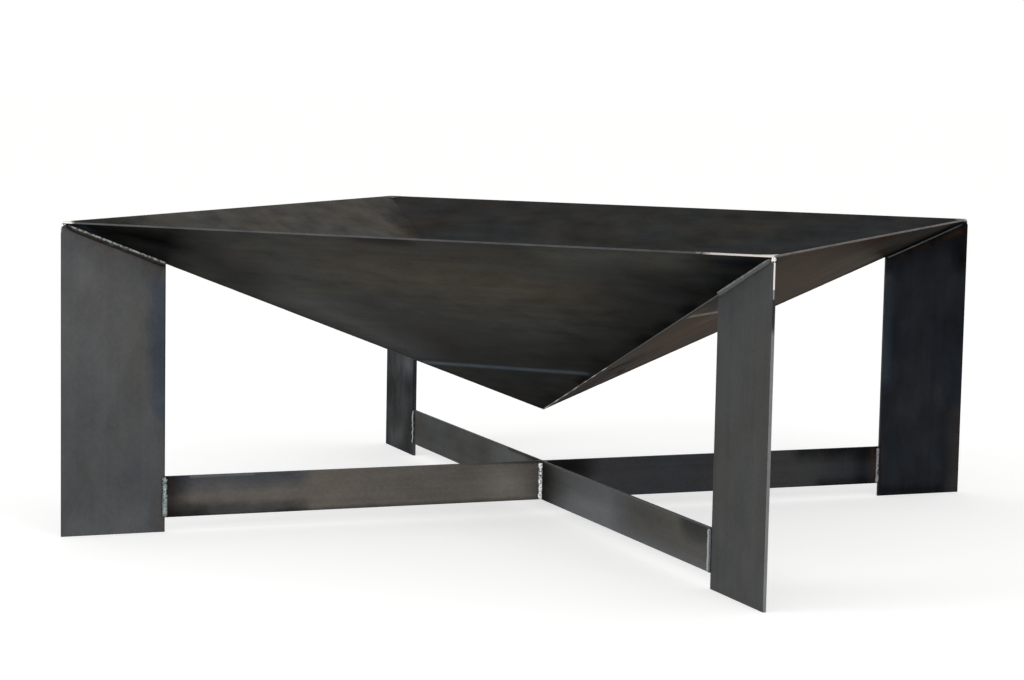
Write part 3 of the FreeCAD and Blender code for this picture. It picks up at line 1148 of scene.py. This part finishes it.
@dataclass
class Bowl:
    """The inverted pyramid: four panels, the seams on its ridges, its tip and its ground rim corners."""

    sheet_edge: float = 0.25 * MM
    cloud_mm: Pair = (75, 45)
    streak_mm: Pair = (260, 5)
    seam_lap: float = 0.45 * MM
    seam_sink: float = 0.03 * MM
    seam_root: float = 0.15 * MM
    seam_end: float = 2 * MM
    bright_seam: float = 170 * MM
    run_lap: float = 3 * MM
    flush_sink: float = 0.05 * MM
    flush_end: float = 0.1 * MM
    tip_radius: float = 2.3 * MM
    tip_half_height: float = 1.4 * MM
    tip_drop: float = 1.1 * MM
    fill_steps: int = 14
    fill_hollow: float = 0.22
    fill_unevenness: float = 0.03
    fill_top_width: float = 0.98
    lump_half_axes: tuple[float, float, float] = (2.6 * MM, 2.3 * MM, 3.2 * MM)
    lump_inset: float = 2.7 * MM
    lump_drop: float = 3.5 * MM

    def build(self) -> None:
        """Dresses the panels and lays the bowl's welds."""
        self.dress_panels()
        self.lay_ridge_seams()
        self.lay_tip_weld()
        self.fill_rim_corners()

    def dress_panels(self) -> None:
        """Gives each panel its own cast of mill scale, with its marks and the ground ends of its rim."""
        for number, (side, look) in enumerate(PANEL_LOOKS.items()):
            rolling = side.along.cross(side.normal) if look.rolled_up_slope else side.along
            dress_plate(f"bowl_panel_{side.label}", MillScale(
                name=f"mild_steel_sheet_hot_rolled_{side.label}",
                tone=look.outside,
                mottle=look.mottle,
                plate=PlateFrame(rolling, side.normal),
                seed=PANEL_SEED + number,
                other_tone=look.inside,
                marks=look.marks(side),
                edge_marks=look.rim_marks(side),
                roughness=look.roughness,
                edge_tint=look.edge_tint,
                cut_edge=look.cut_edge,
                cloud_mm=self.cloud_mm,
                streak_mm=self.streak_mm,
            ), self.sheet_edge)

    def lay_ridge_seams(self) -> None:
        """Lays the thin seam in each ridge's V groove, with a low crown up to the leg and flush under it.

        The front right seam was brushed: bright specks near the tip, and a soft line up to the leg.
        """
        brushed = WeldMetal("mild_steel_weld_thin_seam_brushed", "#fffaf0", "#545552", tint=0.1).material()
        scaled = WeldMetal("mild_steel_weld_thin_seam_scaled", "#4c4c49", "#343534", tint=0.3).material()
        half, depth, angle = SIZES.groove_half_width, SIZES.groove_depth, SIZES.groove_half_angle
        toe_x = half + self.seam_lap * math.cos(angle)
        toe_y = depth - self.seam_lap * math.sin(angle) - self.seam_sink
        root = (0.0, self.seam_root)
        crowned = Section((-toe_x, toe_y), (toe_x, toe_y), root, SIZES.seam_crown, columns=7)
        flush_y = depth - self.flush_sink
        flush = Section((-half, flush_y), (half, flush_y), root, 0.0, columns=3)
        specked = Ripple(24 * MM, 0.05 * MM, 0.6 * MM, 0.4, rows=30, contrast=0.8, sharpness=2.4)
        soft = Ripple(8 * MM, 0.02 * MM, 0.6 * MM, 0.05, rows=5, contrast=0.5)
        still = Ripple(30 * MM, 0.0, 0.0, 0.0, rows=2)
        leg_start, rim_end = (SIZES.along_ridge(out, depth) for out in (SIZES.leg_inner, SIZES.ridge_run))
        crowned_end = leg_start + self.run_lap

        # Each run's start and end along the ridge, section, ripples, end radius and shine
        under_leg = (leg_start, rim_end, flush, still, self.flush_end, 0.4)
        brushed_runs = (
            (0.0, self.bright_seam, crowned, specked, self.seam_end, 1.0),
            (self.bright_seam - self.run_lap, crowned_end, crowned, soft, self.seam_end, 0.03),
            under_leg,
        )
        plain_runs = ((0.0, crowned_end, crowned, soft, self.seam_end, 1.0), under_leg)
        for number, corner in enumerate(Corner):
            bm = new_mesh()
            bright = corner is Corner.FRONT_RIGHT
            for low, high, section, ripple, end_radius, shine in brushed_runs if bright else plain_runs:
                Bead(start=corner.on_ridge(low), travel=corner.ridge_up, length=high - low,
                     side_axis=corner.across, crown_axis=corner.ridge_under, section=section, ripple=ripple,
                     end_radius=end_radius, seed=SEAM_SEED + number, shine=shine).lay(bm)
            make_piece(f"ridge_seam_{corner.label}", bm, brushed if bright else scaled)

    def lay_tip_weld(self) -> None:
        """Lays the drop of weld that closes the tip, a small dome under the bowl."""
        metal = WeldMetal("mild_steel_weld_tip_drop", "#a5a296", "#5a5854").material()
        level_axes = (Vector((self.tip_radius, 0, 0)), Vector((0, self.tip_radius, 0)))
        centre = UP * (SIZES.tip_height - self.tip_drop)
        bm = new_mesh()
        Lump(centre, (*level_axes, UP * self.tip_half_height), TIP_SEED).lay(bm)
        make_piece("tip_weld", bm, metal)

    def fill_rim_corners(self) -> None:
        """Fills each inside corner of the rim, ground flat on top, with the ground lump on its outside."""
        bright = GroundSteel("mild_steel_ground_bright", "#f6f0ec", "#c4bdb9").material()
        dull = GroundSteel("mild_steel_ground_and_weathered", "#8f8a86", "#5b5856", roughness=0.4).material()
        # Size of each corner's lump, and its metal
        looks = {
            Corner.FRONT_LEFT: (0.6, bright),
            Corner.FRONT_RIGHT: (1.0, bright),
            Corner.BACK_RIGHT: (0.65, dull),
            Corner.BACK_LEFT: (0.6, dull),
        }
        for number, (corner, (size, metal)) in enumerate(looks.items()):
            bm = new_mesh()
            self._fill(bm, corner, random.Random(FILL_SEED + number))
            out, height = SIZES.leg_outer - self.lump_inset * size, SIZES.rim_height - self.lump_drop
            centre = corner.place(out, 0, height)
            axes = zip((corner.radial, corner.across, UP), self.lump_half_axes)
            Lump(centre, tuple(axis * half * size for axis, half in axes), LUMP_SEED + number).lay(bm)
            make_piece(f"rim_corner_weld_{corner.label}", bm, metal)

    def _fill(self, bm: BMesh, corner: Corner, rng: random.Random) -> None:
        """Adds the fill of one rim corner: flat on top, with a hollow front.

        Args:
            bm: Mesh that takes the fill.
            corner: Corner of the rim.
            rng: Draws that make its front uneven.
        """
        rim, run = SIZES.rim_height, SIZES.ridge_run
        back = SIZES.rim_corner_fill / math.sqrt(2)
        point = bm.verts.new(corner.place(run, 0, rim))
        top, low = [], []
        for step in range(self.fill_steps + 1):
            across = 2 * step / self.fill_steps - 1
            ragged = self.fill_unevenness * rng.uniform(-1, 1) if abs(across) < 1 else 0
            front = back * (1 - self.fill_hollow * (1 - across * across) - ragged)
            drop = (1 - abs(across)) * back * math.tan(SIZES.ridge_slope)
            top.append(bm.verts.new(corner.place(run - front, self.fill_top_width * back * across, rim)))
            low.append(bm.verts.new(corner.place(run - back, back * across, rim - drop)))
        for i in range(self.fill_steps):
            bm.faces.new((point, top[i], top[i + 1]))
            bm.faces.new((top[i], low[i], low[i + 1], top[i + 1]))
            bm.faces.new((point, low[i + 1], low[i]))
        bm.faces.new((point, low[0], top[0]))
        bm.faces.new((point, top[-1], low[-1]))


# The legs' inner and outer edges, the bars' lower and upper edges, and lines along them, in millimetres
INNER, OUTER = SIZES.leg_inner / MM, SIZES.leg_outer / MM
LOW, HIGH = SIZES.brace_floor_gap / MM, SIZES.brace_top / MM
LEG_TOP = tuple((out, SIZES.leg_top(out * MM) / MM) for out in (INNER, OUTER))
LEG_END, CROSSING = (((out, LOW), (out, HIGH)) for out in (INNER, 0))


@dataclass(frozen=True)
class LegLook:
    """How one leg came out: its cast, mottle, heat colours, soot under the bowl, own marks and cut edge."""

    tone: ScaleTone
    mottle: Mottle
    heat: float
    soot: float = 0.8
    own_marks: tuple[Trace, ...] = ()
    cut_edge: str = "#4b4c4e"

    def marks(self, corner: Corner) -> tuple[Mark, ...]:
        """All marks on the leg's faces: its own, then soot and heat colours under the bowl and at the brace.

        Args:
            corner: Corner that the leg stands at.

        Returns:
            The marks, from the lowest layer up.
        """
        shared = (
            Trace(Stain.TEMPER, *LEG_TOP, 30, self.heat, 1.1),
            Trace(Stain.SOOT, *LEG_TOP, 6, self.soot, 0.3),
            Trace(Stain.TEMPER, *LEG_END, 20, self.heat, 0.6),
        )
        return tuple(trace.upright(corner) for trace in (*self.own_marks, *shared))


LEG_LOOKS: dict[Corner, LegLook] = {
    Corner.FRONT_LEFT: LegLook(
        ScaleTone("#4e5053", "#515150"), Mottle(0.7, 0.15, 0.28), heat=0.25, soot=0.6,
        own_marks=(
            Trace(Stain.LIGHT, (470, 250), (468, 190), 80, 0.18),
            Trace(Stain.LIGHT, (480, 6), (425, 6), 30, 0.25),
            Trace(Stain.BLUED, (397, 120), (398, 235), 17, 0.8, 0.6),
            # Painted shade: a dark line down the inner edge
            Trace(Stain.SOOT, (INNER, 0), (INNER, 258), 2.5, 0.8),
        ),
    ),
    Corner.FRONT_RIGHT: LegLook(
        ScaleTone("#555858", "#575755"), Mottle(0.5, 0.2, 0.32), heat=0.1, soot=0.3,
        own_marks=(Trace(Stain.LIGHT, (400, 250), (490, 285), 110, 0.4),),
        cut_edge="#787a7b",
    ),
    Corner.BACK_RIGHT: LegLook(
        # The cast is painted darker, as shade on this leg
        ScaleTone("#2e343d", "#35383d"), Mottle(1.0, 0.3, 0.2), heat=0.25,
        own_marks=(
            Trace(Stain.DULL, (400, 5), (480, 5), 95, 0.65),
            Trace(Stain.DULL, (398, 105), (398, 50), 36, 0.4),
            Trace(Stain.LIGHT, (405, 228), (470, 228), 38, 0.1),
            Trace(Stain.DULL, *LEG_TOP, 26, 0.9, 0.6),
            Trace(Stain.LIGHT, (394, 235), (394, 130), 12, 0.45),
            Trace(Stain.BLUED, (396, 225), (396, 125), 16, 0.7),
            Trace(Stain.BROWNED, (490, 85), (490, 8), 16, 0.45),
            Trace(Stain.SOOT, (395, 5), (470, 4), 9, 0.6),
            Trace(Stain.SOOT, (482, 274), (486, 258), 32, 1.0),
            Trace(Stain.SCORCHED, (424, 267), (444, 273), 5, 0.6),
            Trace(Stain.SCORCHED, (464, 280), (486, 287), 5, 0.65),
        ),
    ),
    Corner.BACK_LEFT: LegLook(
        ScaleTone("#30363c", "#393936"), Mottle(2.2, 0.8, 0.3), heat=0.3,
        own_marks=(
            Trace(Stain.LIGHT, (412, 106), (440, 108), 26, 0.5, 0.9),
            Trace(Stain.DULL, (402, 84), (416, 80), 18, 0.4, 0.9),
            Trace(Stain.DULL, (470, 72), (486, 66), 22, 0.4, 0.9),
            Trace(Stain.LIGHT, (470, 12), (440, 18), 22, 0.3, 0.9),
            Trace(Stain.SOOT, (INNER, 54), (INNER, 140), 7, 0.9),
        ),
    ),
}

# Cast of each brace bar, and its marks towards the corners that it reaches
BAR_LOOKS: dict[str, tuple[ScaleTone, dict[Corner, tuple[Trace, ...]]]] = {
    "brace_long": (ScaleTone("#575958", "#5d5b56"), {
        Corner.FRONT_RIGHT: (
            # Painted light where the bar's reflection is shaded near the crossing, and along its bottom edge
            Trace(Stain.LIGHT, (75, 28), (170, 26), 70, 1.0),
            Trace(Stain.LIGHT, (70, LOW), (385, LOW), 16, 0.9),
            Trace(Stain.SILVERED, (85, 30), (160, 27), 44, 0.22),
            # Soot with painted shade in the corners of the crossing
            Trace(Stain.SOOT, *CROSSING, 42, 0.85),
            Trace(Stain.SOOT, (INNER, HIGH), (345, HIGH), 26, 0.6),
            Trace(Stain.SOOT, *LEG_END, 9, 0.5),
            # Painted highlight along the top edge
            Trace(Stain.SILVERED, (8, HIGH), (INNER, HIGH), 2.5, 0.6),
        ),
        Corner.BACK_LEFT: (
            Trace(Stain.DULL, (380, 34), (170, 34), 55, 0.4),
            Trace(Stain.LIGHT, (50, 40), (95, 42), 30, 0.25),
            Trace(Stain.SOOT, (8, HIGH), (90, HIGH), 3.8, 0.9, 0.3),
            Trace(Stain.SOOT, *LEG_END, 10, 0.5),
        ),
    }),
    "brace_half_front_left": (ScaleTone("#5f5c59", "#67615b"), {
        Corner.FRONT_LEFT: (
            # Painted light where the bar's reflection is shaded near the crossing
            Trace(Stain.RUBBED, (0, 34), (40, 34), 44, 1.0),
            Trace(Stain.BLUED, (392, 56), (262, 58), 24, 0.8),
            Trace(Stain.BLUED, (380, LOW), (270, LOW), 14, 0.4),
            Trace(Stain.DULL, (390, HIGH), (270, HIGH), 20, 0.15),
            Trace(Stain.SOOT, (INNER, LOW), (362, LOW), 18, 0.7),
            Trace(Stain.DULL, (375, LOW), (260, LOW), 16, 0.7, 1.0),
            Trace(Stain.SOOT, (280, LOW), (0, LOW), 5, 0.45),
            Trace(Stain.SOOT, *LEG_END, 28, 0.85),
            Trace(Stain.SCORCHED, (INNER - 7, LOW), (INNER - 7, HIGH), 3, 0.35),
            # Painted highlight along the top edge
            Trace(Stain.SILVERED, (368, HIGH - 1), (306, HIGH - 1), 2.5, 0.5),
            Trace(Stain.SILVERED, (306, HIGH), (0, HIGH), 2, 0.3),
            # Painted shade: a dark line along the top edge where the bars meet at the crossing
            Trace(Stain.SOOT, (4, HIGH), (100, HIGH + 3), 4.2, 1.0, 0.3),
        ),
    }),
    "brace_half_back_right": (ScaleTone("#393d43", "#3e3e40"), {
        Corner.BACK_RIGHT: (
            Trace(Stain.SOOT, (0, 50), (34, 48), 34, 0.88),
            Trace(Stain.PALE, (250, 30), (300, 33), 48, 0.2),
            Trace(Stain.SOOT, (300, HIGH), (INNER, HIGH), 17, 0.85),
            Trace(Stain.SOOT, (325, LOW), (INNER, LOW), 13, 0.75),
            Trace(Stain.SOOT, (374, LOW), (374, HIGH), 15, 0.6),
            Trace(Stain.SCORCHED, (INNER - 8, LOW), (INNER - 8, HIGH), 5, 0.5),
        ),
    }),
}


@dataclass(frozen=True)
class BeadLook:
    """How one weld came out: its metal, ripples, width and crown, its painted highlight, and how far it lies
    aside.

    The width is the leg of a fillet, or the whole width of a bead over a butt.
    """

    metal: WeldMetal
    ripple: Ripple
    width: float
    crown: float
    glint: float = 0.0
    glint_width: float = 1.0
    aside: float = 0.0
    tail: float = 0.0


@dataclass
class Stand:
    """The four plate legs, the cross brace between them, and the welds that hold them."""

    plate_edge: float = 0.5 * MM
    bead_sink: float = 0.06 * MM
    fillet_root: float = 0.2 * MM
    butt_root: float = 0.3 * MM
    leg_bead_crown: float = 0.5 * MM
    slim_leg_bead: float = 3.2 * MM
    leg_bead_gap: float = 3.5 * MM
    leg_bead_far_end: float = 11 * MM
    bead_end: float = 3 * MM
    cross_bead_crown: float = 0.8 * MM
    cross_bead_end: float = 2.5 * MM

    def build(self) -> None:
        """Dresses the plates and lays the stand's welds."""
        self.dress_legs()
        self.dress_braces()
        self.lay_leg_top_welds()
        self.lay_brace_end_welds()
        self.lay_cross_welds()

    def leg_edge_marks(self, corner: Corner) -> tuple[Mark, ...]:
        """Marks on a leg's cut edge: a ground top corner or, front right, a ground line down through soot.

        Args:
            corner: Corner that the leg stands at.

        Returns:
            The marks, from the lowest layer up.
        """
        top = corner.place(SIZES.leg_outer, 0, 298 * MM)
        if corner is not Corner.FRONT_RIGHT:
            return (Mark(Stain.GROUND, top, top, 9 * MM),)
        start, bright_end, end = (
            corner.place(SIZES.leg_outer, -0.4 * MM, height * MM) for height in (293.5, 272, 264))
        return (
            Mark(Stain.SOOT, top, top - UP * 56 * MM, 9 * MM, 0.9, 0.3),
            Mark(Stain.SILVERED, start, end, 1.1 * MM, 0.9, 0.2),
            Mark(Stain.GROUND, start, bright_end, 0.9 * MM, 1.0, 0.2),
        )

    def dress_legs(self) -> None:
        """Gives each leg its own cast of mill scale, with its marks and its ground top corner."""
        for number, (corner, look) in enumerate(LEG_LOOKS.items()):
            dress_plate(f"leg_{corner.label}", MillScale(
                name=f"mild_steel_flat_hot_rolled_leg_{corner.label}",
                tone=look.tone,
                mottle=look.mottle,
                plate=PlateFrame(UP, corner.across),
                seed=LEG_SEED + number,
                marks=look.marks(corner),
                edge_marks=self.leg_edge_marks(corner),
                cut_edge=look.cut_edge,
            ), self.plate_edge)

    def dress_braces(self) -> None:
        """Gives each brace bar its own cast of mill scale, with marks at its ends and at the crossing."""
        for number, (node, (tone, traces)) in enumerate(BAR_LOOKS.items()):
            first = next(iter(traces))
            dress_plate(node, MillScale(
                name=f"mild_steel_flat_hot_rolled_{node}",
                tone=tone,
                mottle=Mottle(0.55, 0.3, 0.35),
                plate=PlateFrame(first.radial, first.across),
                seed=BAR_SEED + number,
                marks=tuple(trace.upright(corner) for corner, rows in traces.items() for trace in rows),
            ), self.plate_edge)

    def lay_leg_top_welds(self) -> None:
        """Lays a fillet on each face of a leg, under the bowl."""
        flow = Ripple(2.1 * MM, 0.03 * MM, 1.3 * MM, 0.08, lumps=0.05, lump_pitch=14 * MM, rows=5,
                      contrast=0.4)
        kind = "mild_steel_weld_leg_fillet"
        brown = WeldMetal(f"{kind}_browned", "#949798", "#2b2723", "#0b0b0b", tint=0.2, speckle_mm=2.5,
                          speckle=0.7)
        grey = WeldMetal(f"{kind}_grey", "#868b8a", "#5a5d5c", "#464848", tint=0.1, speckle_mm=3, speckle=0.4)
        dark = WeldMetal(f"{kind}_dark", "#5c5f5e", "#191b1c", "#0b0b0b", tint=0.1, speckle=0.3)
        made = {metal: metal.material() for metal in (brown, grey, dark)}
        wide, slim = ((width, self.leg_bead_crown) for width in (SIZES.leg_bead_leg, self.slim_leg_bead))
        looks = {
            Corner.FRONT_LEFT: BeadLook(brown, flow, *wide, glint=-0.62, glint_width=0.44),
            Corner.FRONT_RIGHT: BeadLook(grey, flow, *slim, glint=-0.6, glint_width=0.6),
            Corner.BACK_RIGHT: BeadLook(dark, flow, *slim, glint=0.1, glint_width=0.5, tail=0.25),
            Corner.BACK_LEFT: BeadLook(dark, flow, *slim, glint=0.1, glint_width=0.5),
        }
        angle, half, depth = SIZES.groove_half_angle, SIZES.groove_half_width, SIZES.groove_depth
        face = SIZES.stand_plate / 2
        root = (face - self.fillet_root, depth - self.fillet_root)
        start = SIZES.along_ridge(SIZES.leg_inner, depth)
        end_out, end_under = SIZES.leg_outer - self.leg_bead_gap, depth + SIZES.leg_bead_leg
        length = SIZES.along_ridge(end_out, end_under) - start
        for number, (corner, look) in enumerate(looks.items()):
            panel_y = depth - look.width * math.sin(angle) - self.bead_sink
            on_panel = (half + look.width * math.cos(angle), panel_y)
            on_leg = (face - self.bead_sink, depth + look.width)
            section = Section(on_panel, on_leg, root, look.crown, glint=look.glint,
                              glint_width=look.glint_width)
            bm = new_mesh()
            for i, side in enumerate((-1, 1)):
                Bead(start=corner.on_ridge(start), travel=corner.ridge_up, length=length,
                     side_axis=corner.across * side, crown_axis=corner.ridge_under, section=section,
                     ripple=look.ripple, end_radius=self.bead_end, far_radius=self.leg_bead_far_end,
                     seed=LEG_BEAD_SEED + 2 * number + i, tail=look.tail).lay(bm)
            make_piece(f"leg_top_weld_{corner.label}", bm, made[look.metal])

    def lay_brace_end_welds(self) -> None:
        """Lays an upright bead on each face, over the butt of a brace bar on a leg."""
        kind = "mild_steel_weld_brace_butt"
        looks = {
            Corner.FRONT_LEFT: BeadLook(
                WeldMetal(f"{kind}_lumpy", "#aab4b4", "#454f51", "#131516", tint=0.2, speckle=0.6),
                Ripple(2.6 * MM, 0.25 * MM, 1.4 * MM, 0.5, lumps=0.1, lump_pitch=6 * MM, contrast=0.7,
                       calm=0.5),
                width=6.2 * MM, crown=1.6 * MM, glint_width=0.9),
            Corner.FRONT_RIGHT: BeadLook(
                WeldMetal(f"{kind}_smooth", "#c0c6c7", "#5b6264", "#17191a", tint=0.1),
                Ripple(2.5 * MM, 0.02 * MM, 1.2 * MM, 0.1, lumps=0.06, contrast=0.25),
                width=7 * MM, crown=2.2 * MM, glint=-0.2, glint_width=0.8, aside=-3.2 * MM),
            Corner.BACK_RIGHT: BeadLook(
                WeldMetal(f"{kind}_purpled", "#a5a1a4", "#474446", "#0f0f0f", tint=0.15, speckle=0.4),
                Ripple(2.4 * MM, 0.08 * MM, 1.2 * MM, 0.3, lumps=0.08, lump_pitch=8 * MM, contrast=0.4),
                width=5 * MM, crown=1.7 * MM, glint_width=0.85, aside=-2.3 * MM),
            Corner.BACK_LEFT: BeadLook(
                WeldMetal(f"{kind}_narrow", "#d9dcdd", "#3a3f42", "#16181a", tint=0.1),
                Ripple(2.5 * MM, 0.03 * MM, 1.2 * MM, 0.3, lumps=0.1, contrast=0.3),
                width=5 * MM, crown=1.6 * MM, glint_width=0.5),
        }
        face = SIZES.stand_plate / 2
        for number, (corner, look) in enumerate(looks.items()):
            toe_a, toe_b = ((end * look.width / 2, -self.bead_sink) for end in (-1, 1))
            section = Section(toe_a, toe_b, (0.0, -self.butt_root), look.crown, glint=look.glint,
                              glint_width=look.glint_width)
            bm = new_mesh()
            for i, side in enumerate((-1, 1)):
                foot = corner.place(SIZES.leg_inner + look.aside, side * face, SIZES.brace_floor_gap)
                Bead(start=foot, travel=UP, length=SIZES.brace_height, side_axis=corner.radial,
                     crown_axis=corner.across * side, section=section, ripple=look.ripple,
                     end_radius=self.bead_end, seed=BRACE_BEAD_SEED + 2 * number + i).lay(bm)
            make_piece(f"brace_end_weld_{corner.label}", bm, look.metal.material())

    def lay_cross_welds(self) -> None:
        """Lays the upright fillets in the four corners where the half bars meet the long bar."""
        metal = WeldMetal("mild_steel_weld_cross_fillet", "#fbfcfb", "#6d706f", browned="#8a8378", tint=0.2,
                          speckle=0.8).material()
        ripple = Ripple(2.2 * MM, 0.3 * MM, 1.0 * MM, 0.3, lumps=0.05, lump_pitch=5 * MM, rows=7,
                        contrast=0.5)
        face = SIZES.stand_plate / 2
        toe, sunk, root = face + SIZES.cross_bead_leg, face - self.bead_sink, face - self.fillet_root
        section = Section((toe, sunk), (sunk, toe), (root, root), self.cross_bead_crown)
        along_long, along_half = Corner.FRONT_RIGHT.radial, Corner.FRONT_RIGHT.across
        bm = new_mesh()
        for number, (long_end, half_end) in enumerate(((-1, -1), (-1, 1), (1, -1), (1, 1))):
            Bead(start=UP * SIZES.brace_floor_gap, travel=UP, length=SIZES.brace_height,
                 side_axis=along_long * long_end, crown_axis=along_half * half_end, section=section,
                 ripple=ripple, end_radius=self.cross_bead_end, seed=CROSS_BEAD_SEED + number).lay(bm)
        make_piece("brace_cross_weld", bm, metal)


@dataclass
class Studio:
    """Pale floor, soft light, a dark card for the metal to reflect, and the camera."""

    floor_radius: float = 60.0
    floor_segments: int = 96
    lamp_aim: float = 0.15
    card_near: Pair = (0.70, -0.2)
    card_far: Pair = (0.80, 0.75)
    card_height: float = 0.6
    camera_place: tuple[float, float, float] = (0.9465, -2.28278, 0.43811)
    azimuth: float = 23.297
    elevation: float = 6.0279
    roll: float = 1.1191
    lens_mm: float = 85.86
    sensor_mm: float = 36.0

    def build(self) -> None:
        """Sets up the studio."""
        self.lay_floor()
        self.set_world()
        self.hang_lamps()
        self.stand_card()
        self.place_camera()
        bpy.context.scene.view_settings.view_transform = "Standard"

    def lay_floor(self) -> None:
        """Lays the round white floor."""
        bm = bmesh.new()
        bmesh.ops.create_circle(bm, cap_ends=True, segments=self.floor_segments, radius=self.floor_radius)
        floor = new_mesh_object("studio_floor", bm, PaleFloor().material())
        LOG.info("%s: radius %.1f m", floor.name, self.floor_radius)

    def set_world(self) -> None:
        """Sets an even white surround, dimmer overhead."""
        world = bpy.data.worlds.new("white_tent")
        bpy.context.scene.world = world
        tree = empty_tree(world)
        height = add(tree, "SeparateXYZ", (add(tree, "TexCoord", out="Generated"),), out="Z")
        tent = add(tree, "ValToRGB", (height,), stops=[(0.25, "#ffffff", 1.0), (0.9, "#b0b0b0", 1.0)])
        light = add(tree, "Background", {"Color": tent, "Strength": 1.0})
        add(tree, "OutputWorld", {"Surface": light})

    def hang_lamps(self) -> None:
        """Hangs two soft boxes that pick out the welds and edges."""
        # Place, size in metres and power in watts of each box
        boxes = {
            "soft_box_left": ((-1.6, -1.9, 1.7), 1.1, 14.0),
            "soft_box_right": ((1.9, -1.5, 1.2), 0.8, 8.0),
        }
        for name, (place, size, watts) in boxes.items():
            lamp = bpy.data.lights.new(name, "AREA")
            lamp.shape = "SQUARE"
            lamp.size = size
            lamp.energy = watts
            holder = new_object(name, lamp)
            holder.location = place
            holder.rotation_euler = (UP * self.lamp_aim - Vector(place)).to_track_quat("-Z", "Y").to_euler()
            LOG.info("%s: %.1f m, %.0f W", name, size, watts)

    def stand_card(self) -> None:
        """Stands a dark card to the right, which only the metal's reflections see."""
        bm = bmesh.new()
        low = [(*place, 0) for place in (self.card_near, self.card_far)]
        high = [(*place, self.card_height) for place in (self.card_far, self.card_near)]
        bm.faces.new([bm.verts.new(corner) for corner in low + high])
        card = new_mesh_object("dark_card", bm, DarkCard().material())
        card.visible_camera = False
        card.visible_diffuse = False
        card.visible_shadow = False
        LOG.info("%s: %.1f m high", card.name, self.card_height)

    def place_camera(self) -> None:
        """Places the camera where the photograph was taken from."""
        azimuth, elevation, roll = (math.radians(v) for v in (self.azimuth, self.elevation, self.roll))
        level = Vector((math.cos(azimuth), math.sin(azimuth), 0))
        forward = UP.cross(level) * math.cos(elevation) - UP * math.sin(elevation)
        upright = level.cross(forward)
        right = level * math.cos(roll) + upright * math.sin(roll)
        top = upright * math.cos(roll) - level * math.sin(roll)
        lens = bpy.data.cameras.new("camera")
        lens.lens = self.lens_mm
        lens.sensor_width = self.sensor_mm
        camera = new_object("camera", lens)
        turn = Matrix((right, top, -forward)).transposed().to_4x4()
        camera.matrix_world = Matrix.Translation(self.camera_place) @ turn
        bpy.context.scene.camera = camera
        LOG.info("%s: %.2f mm lens", camera.name, self.lens_mm)


def main() -> None:
    """Builds the bowl, its stand and the studio."""
    logging.basicConfig(level=logging.INFO, format="%(name)s: %(message)s")
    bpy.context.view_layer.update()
    for assembly in (Bowl(), Stand(), Studio()):
        assembly.build()


if __name__ == "__main__":
    main()
